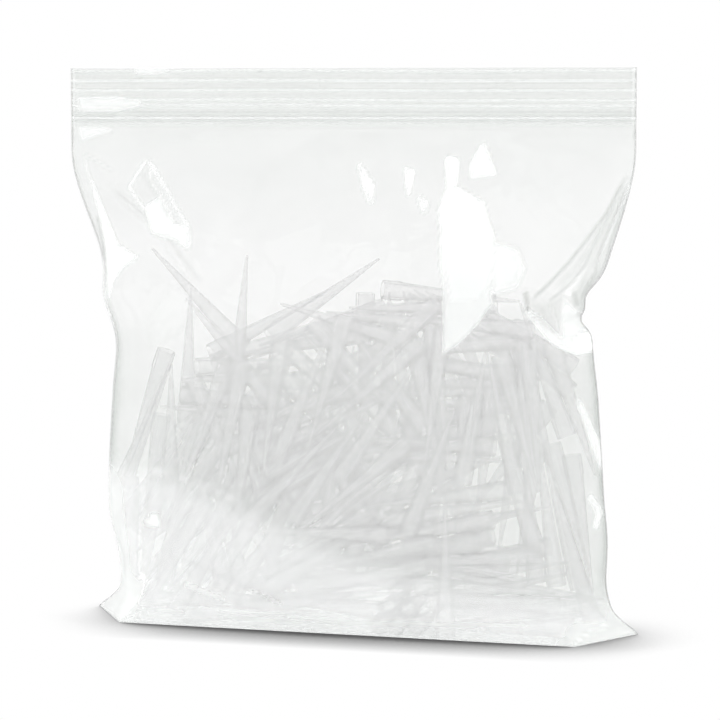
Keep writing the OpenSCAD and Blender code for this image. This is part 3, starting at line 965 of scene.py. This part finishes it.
@dataclass
class Pouch:
    """The film pouch: a front and a back film, the folded base between them and both side welds."""

    shape: PouchShape = field(default_factory=PouchShape)
    pulls: tuple[Pull, ...] = (
        Pull(Hand.LEFT, 116, 11, 5.0),
        Pull(Hand.RIGHT, 119, 5.5, -4.5),
        Pull(Hand.RIGHT, 111, 3.5, -4.5),
        Pull(Hand.RIGHT, 27, 14, 2.5),
    )
    front_crumple: Crumple = Crumple(11)
    back_crumple: Crumple = Crumple(23)
    calm: float = 0.35
    calm_until: float = 0.9
    calm_fade: float = 25.0
    band_fade: float = 12.0
    floor_fade: float = 8.0
    edge_fade: float = 0.03
    columns: int = 232
    rows: tuple[tuple[float, int], ...] = ((30.0, 34), (95.0, 34), (179.5, 77))
    band_rows: int = 64
    base_rows: int = 40
    floor_gap: float = 0.02
    zip_rise: float = 2.4
    zip_bulge: float = 0.45
    zip_reach: float = 0.7
    bead_r: float = 0.32
    bead_facets: int = 10

    def heights(self) -> Array:
        """Heights of the grid's rows: even within each zone, and closest together on the band.

        Returns:
            The heights, from the floor up.
        """
        starts = [0.0] + [top for top, _ in self.rows[:-1]]
        zones = [
            np.linspace(low, top, count, endpoint=False)
            for low, (top, count) in zip(starts, self.rows)
        ]
        band = np.linspace(self.shape.zip_z, self.shape.bag_h, self.band_rows)
        return np.concatenate([*zones, band])

    def skin(self, angle: Array, z: Array) -> Array:
        """The section's surface with its sides pulled in and out.

        Args:
            angle: place round the ring in radians.
            z: heights, in the same shape.

        Returns:
            Points with X, Y, Z in a last axis.
        """
        points = self.shape.surface(angle, z)
        points[..., 0] += sum(pull.shift(points) for pull in self.pulls)
        return points

    def relief(self, side: Side, x: Array, z: Array) -> Array:
        """How far the film stands out from its section: creases, crumples and the zip's bulge.

        Creasing is calmer over the heap and dies out towards the band and the floor.

        Args:
            side: which film.
            x: places across the film.
            z: heights.

        Returns:
            The relief in millimetres, outward positive.
        """
        above = ease((z - self.calm_until * self.shape.heap_h) / self.calm_fade)
        below_band = 1 - ease((z - self.shape.zip_z + self.band_fade) / self.band_fade)
        fullness = mix(self.calm, 1.0, above) * below_band * ease(z / self.floor_fade)
        crumple = self.front_crumple if side is Side.FRONT else self.back_crumple
        creased = sum(crease.relief(x, z) for crease in self.creases(side))
        over_zip = (z - self.shape.zip_z - self.zip_rise) / self.zip_reach
        bulge = self.zip_bulge * np.exp(-(over_zip**2))
        return (crumple.relief(x, z) + creased) * fullness + bulge

    def creases(self, side: Side) -> Creases:
        """The creases of one film."""
        return BAND_LINES + (FRONT_CREASES if side is Side.FRONT else BACK_CREASES)

    def mark(self, piece: Piece, side: Side, x: Array, z: Array) -> None:
        """Writes each point's painted highlights, haze and painted shade as a colour attribute.

        Args:
            piece: the film's object.
            side: which film.
            x: places across the film, in the order of its points.
            z: heights.
        """
        levels = np.zeros((*x.shape, 4))
        levels[..., 3] = 1
        for crease in self.creases(side):
            channel = levels[..., crease.mark.value]
            channel[...] = np.maximum(channel, crease.strength * crease.cover(x, z))
        attribute = piece.data.color_attributes.new(MARKS, "FLOAT_COLOR", "POINT")
        attribute.data.foreach_set("color", levels.astype(np.float32).ravel())

    def film(self, side: Side) -> Piece:
        """Builds one film: the pouch's section with the relief added along its normals.

        Args:
            side: which film.

        Returns:
            The film's object, marked and thickened.
        """
        start = math.pi if side is Side.FRONT else 0.0
        angle, z = np.meshgrid(np.linspace(start, start + math.pi, self.columns), self.heights())
        points = self.skin(angle, z)
        relief = self.relief(side, points[..., 0], z)
        edge = ease((1 - np.abs(np.cos(angle))) / self.edge_fade)
        points = points + grid_normals(points) * (relief * edge)[..., None]
        points[..., 2] = np.clip(points[..., 2], 0, self.shape.bag_h)
        quads = grid_quads(len(z), self.columns)
        piece = mesh_object(f"film_{side.name.lower()}", points, quads)
        self.mark(piece, side, points[..., 0], z)
        thicken(piece, self.shape.film_t)
        return piece

    def base(self) -> Piece:
        """Builds the folded base: the section's outline at height 0, filled straight across.

        Returns:
            The base's object, thickened.
        """
        angle, across = np.meshgrid(
            np.linspace(math.pi, 2 * math.pi, self.columns // 2), np.linspace(-1, 1, self.base_rows)
        )
        ring = self.skin(angle, np.zeros_like(angle))
        points = ring * np.stack([np.ones_like(across), across, np.ones_like(across)], axis=-1)
        points[..., 2] += self.floor_gap
        quads = grid_quads(self.base_rows, self.columns // 2)
        piece = mesh_object("base_fold", points, quads)
        merge_points(piece)
        thicken(piece, self.shape.film_t)
        return piece

    def weld(self, hand: Hand) -> Piece:
        """Builds the welded bead along one side edge: a small ring carried up the edge.

        Args:
            hand: which side edge.

        Returns:
            The bead's object, a tube that is shut at both ends.
        """
        z = self.heights()[::2]
        angle = np.full_like(z, 0.0 if hand is Hand.RIGHT else math.pi)
        path = self.skin(angle, z)
        tangent = np.gradient(path, axis=0)
        tangent /= np.linalg.norm(tangent, axis=1, keepdims=True)
        out = np.cross(tangent, np.array([0.0, 1.0, 0.0]))
        out /= np.linalg.norm(out, axis=1, keepdims=True)
        side = np.cross(tangent, out)
        turn = np.linspace(0, 2 * math.pi, self.bead_facets, endpoint=False)[:, None]
        ring = np.cos(turn) * out[:, None] + np.sin(turn) * side[:, None]
        points = path[:, None] + self.bead_r * ring
        points[..., 2] = np.clip(points[..., 2], self.floor_gap, self.shape.bag_h)
        quads = tube_quads(len(z), self.bead_facets)
        return mesh_object(f"side_weld_{hand.name.lower()}", points, quads)

    def build(self) -> None:
        """Builds, dresses and fixes every piece of the pouch."""
        film, base_film, weld = FILM.material(), BASE_FILM.material(), WELD.material()
        pieces = [(self.film(side), film) for side in Side]
        pieces += [(self.base(), base_film)]
        pieces += [(self.weld(hand), weld) for hand in Hand]
        for piece, finish in pieces:
            piece.data.materials.append(finish)
            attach(piece, BODY)
            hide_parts("bag_film")
            log.info("%s: %d faces", piece.name, len(piece.data.polygons))


@dataclass
class Contents:
    """The solids that keep their own shape: the zip strips and every pipette tip."""

    nodes: dict[str, Piece]

    def dress(self) -> None:
        """Gives the strips and the tips their finishes."""
        made = {plastic: plastic.material() for plastic in (ZIP, TIP, LIGHTENED_END_ON_TIP)}
        for name, node in self.nodes.items():
            if name == "bag_film":
                continue
            finish = made[self.plastic(name)]
            node.data.materials.clear()
            node.data.materials.append(finish)
            node.visible_shadow = False
            log.info("%s: dressed in %s", name, finish.name)

    def plastic(self, name: str) -> ClearPlastic:
        """The plastic that the node of that name is made of."""
        tip = LIGHTENED_END_ON_TIP if name == LOW_TIPS_NODE else TIP
        return ZIP if name.startswith(STRIP_NODES) else tip


# ---- The studio ----


@dataclass(frozen=True)
class Lamp:
    """A soft box that looks at one point. The film shows it only where mirrored is set."""

    name: str
    azimuth: float
    elevation: float
    distance: float
    width: float
    height: float
    radiance: float
    mirrored: bool = True

    def build(self, target: Array) -> None:
        """Adds the lamp.

        Args:
            target: the point that it looks at, in metres.
        """
        a, e = math.radians(self.azimuth), math.radians(self.elevation)
        back = np.array([math.sin(a) * math.cos(e), -math.cos(a) * math.cos(e), math.sin(e)])
        light = bpy.data.lights.new(self.name, "AREA")
        light.shape = "RECTANGLE"
        light.size = self.width
        light.size_y = self.height
        light.energy = self.radiance * math.pi * self.width * self.height
        light.use_shadow = False
        light.cycles.use_multiple_importance_sampling = self.mirrored
        lamp = bpy.data.objects.new(self.name, light)
        lamp.location = target + back * self.distance
        lamp.rotation_euler = Vector(-back).to_track_quat("-Z", "Y").to_euler()
        lamp.visible_glossy = self.mirrored
        bpy.context.scene.collection.objects.link(lamp)


@dataclass
class Studio:
    """White surroundings, soft boxes and the camera in metres, and a white floor in millimetres."""

    azimuth: float = 15.0
    camera_distance: float = 0.916
    camera_height: float = 0.183
    aim_height: float = 0.0949
    aim_right: float = -0.0003
    lens: float = 127.72
    sensor: float = 36.0
    clip: Pair = (0.05, 20.0)
    lit_height: float = 0.1
    tent: float = 0.94
    tent_half: float = 1.3
    floor_half: float = 2500.0
    floor_drop: float = 0.05
    shadow_lean: Triple = (-0.42, 0.86, 0.30)
    shadow_reach: float = 0.027
    shadow_samples: int = 12
    shadow_full: float = 0.38
    shadow_power: float = 0.75
    shadow_colour: Colour = (0.09, 0.09, 0.09)
    contact_reach: float = 0.009
    contact_samples: int = 8
    contact_share: float = 0.8
    under_bag: Pair = (0.08, 0.25)
    clear_bounces: int = 40
    bounces: int = 3
    mirror_bounces: int = 1
    lamps: tuple[Lamp, ...] = (
        Lamp("key", -42, 48, 1.6, 0.3, 0.8, 3.5, mirrored=False),
        Lamp("left_box", -80, 25, 1.4, 0.25, 0.9, 5.0),
        Lamp("right_box", 95, 25, 1.4, 0.25, 0.9, 5.0, mirrored=False),
    )

    def world(self) -> None:
        """White behind everything that is seen, mirrored or looked through."""
        made = bpy.data.worlds.new("white_studio")
        made.use_nodes = True
        graph = Graph(made.node_tree)
        inputs = {"Color": (*WHITE, 1.0), "Strength": graph.seen_rays()}
        white = graph.add("ShaderNodeBackground", None, inputs)
        graph.add("ShaderNodeOutputWorld", None, {"Surface": white})
        made.cycles.sampling_method = "NONE"
        bpy.context.scene.world = made

    def middle(self) -> Array:
        """The point in the bag that every light looks at."""
        return np.array([0.0, 0.0, self.lit_height])

    def light_tent(self) -> None:
        """Six even walls of light around the bag, so that every side of it is lit alike."""
        size = 2 * self.tent_half
        walls = [(f"tent_{azimuth}", azimuth, 0) for azimuth in (0, 90, 180, 270)]
        walls += [("tent_top", 0, 90), ("tent_floor", 0, -90)]
        for name, azimuth, elevation in walls:
            wall = Lamp(name, azimuth, elevation, self.tent_half, size, size, self.tent, False)
            wall.build(self.middle())

    def floor(self) -> None:
        """A glowing white floor, darkened by how much of the bag stands near over each place.

        The cast part of the shadow looks along shadow_lean, and the contact part straight up.
        """
        signs = np.array([[-1, -1], [1, -1], [1, 1], [-1, 1]])
        points = np.insert(self.floor_half * signs, 2, -self.floor_drop, axis=1)
        piece = mesh_object("floor", points, np.array([[0, 1, 2, 3]]))
        made, graph = new_material("white_floor")
        lean = graph.add("ShaderNodeCombineXYZ", None, dict(enumerate(self.shadow_lean)))
        inputs = {"Distance": self.shadow_reach, "Normal": lean}
        settings = {"samples": self.shadow_samples}
        leaning = graph.add("ShaderNodeAmbientOcclusion", settings, inputs, "AO")
        inputs = {"Distance": self.contact_reach}
        settings = {"samples": self.contact_samples}
        upright = graph.add("ShaderNodeAmbientOcclusion", settings, inputs, "AO")
        lit = leaning.step(self.shadow_full, 1.0, "LINEAR") ** self.shadow_power
        contact = (1 - upright) * self.contact_share
        dark = (1 - lit + contact).held() * upright.step(*self.under_bag)
        colour = graph.tint(dark, WHITE, self.shadow_colour)
        inputs = {"Color": colour, "Strength": graph.seen_rays()}
        glow = graph.add("ShaderNodeEmission", None, inputs)
        graph.add("ShaderNodeOutputMaterial", None, {"Surface": glow})
        piece.data.materials.append(made)
        piece.visible_shadow = False

    def camera(self) -> None:
        """The camera in front and to the right, level with the bag's top."""
        a = math.radians(self.azimuth)
        right = np.array([math.cos(a), math.sin(a), 0.0])
        back = np.array([math.sin(a), -math.cos(a), 0.0])
        centre = right * self.aim_right
        place = centre + back * self.camera_distance + np.array([0, 0, self.camera_height])
        aim = centre + np.array([0, 0, self.aim_height])
        data = bpy.data.cameras.new("camera")
        data.lens = self.lens
        data.sensor_width = self.sensor
        data.clip_start, data.clip_end = self.clip
        made = bpy.data.objects.new("camera", data)
        made.location = place
        made.rotation_euler = Vector(aim - place).to_track_quat("-Z", "Y").to_euler()
        bpy.context.scene.collection.objects.link(made)
        bpy.context.scene.camera = made

    def build(self) -> None:
        """Builds the surroundings and sets how far light is followed."""
        scene = bpy.context.scene
        scene.view_settings.view_transform = "Standard"
        scene.cycles.transparent_max_bounces = self.clear_bounces
        scene.cycles.max_bounces = self.bounces
        scene.cycles.diffuse_bounces = 0
        scene.cycles.glossy_bounces = self.mirror_bounces
        scene.cycles.caustics_reflective = False
        scene.cycles.caustics_refractive = False
        self.world()
        self.light_tent()
        self.floor()
        self.camera()
        for lamp in self.lamps:
            lamp.build(self.middle())


def corners(box: tuple[Sequence[float], Sequence[float]]) -> list[list[float]]:
    """Both corners of a box as plain lists."""
    return [[float(v) for v in corner] for corner in box]


def main() -> None:
    """Loads the frame, builds the pouch, dresses what it holds and lights it."""
    logging.basicConfig(level=logging.INFO, format="%(message)s")
    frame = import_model()
    Studio().build()
    Pouch().build()
    Contents(frame["nodes"]).dress()


if __name__ == "__main__":
    main()
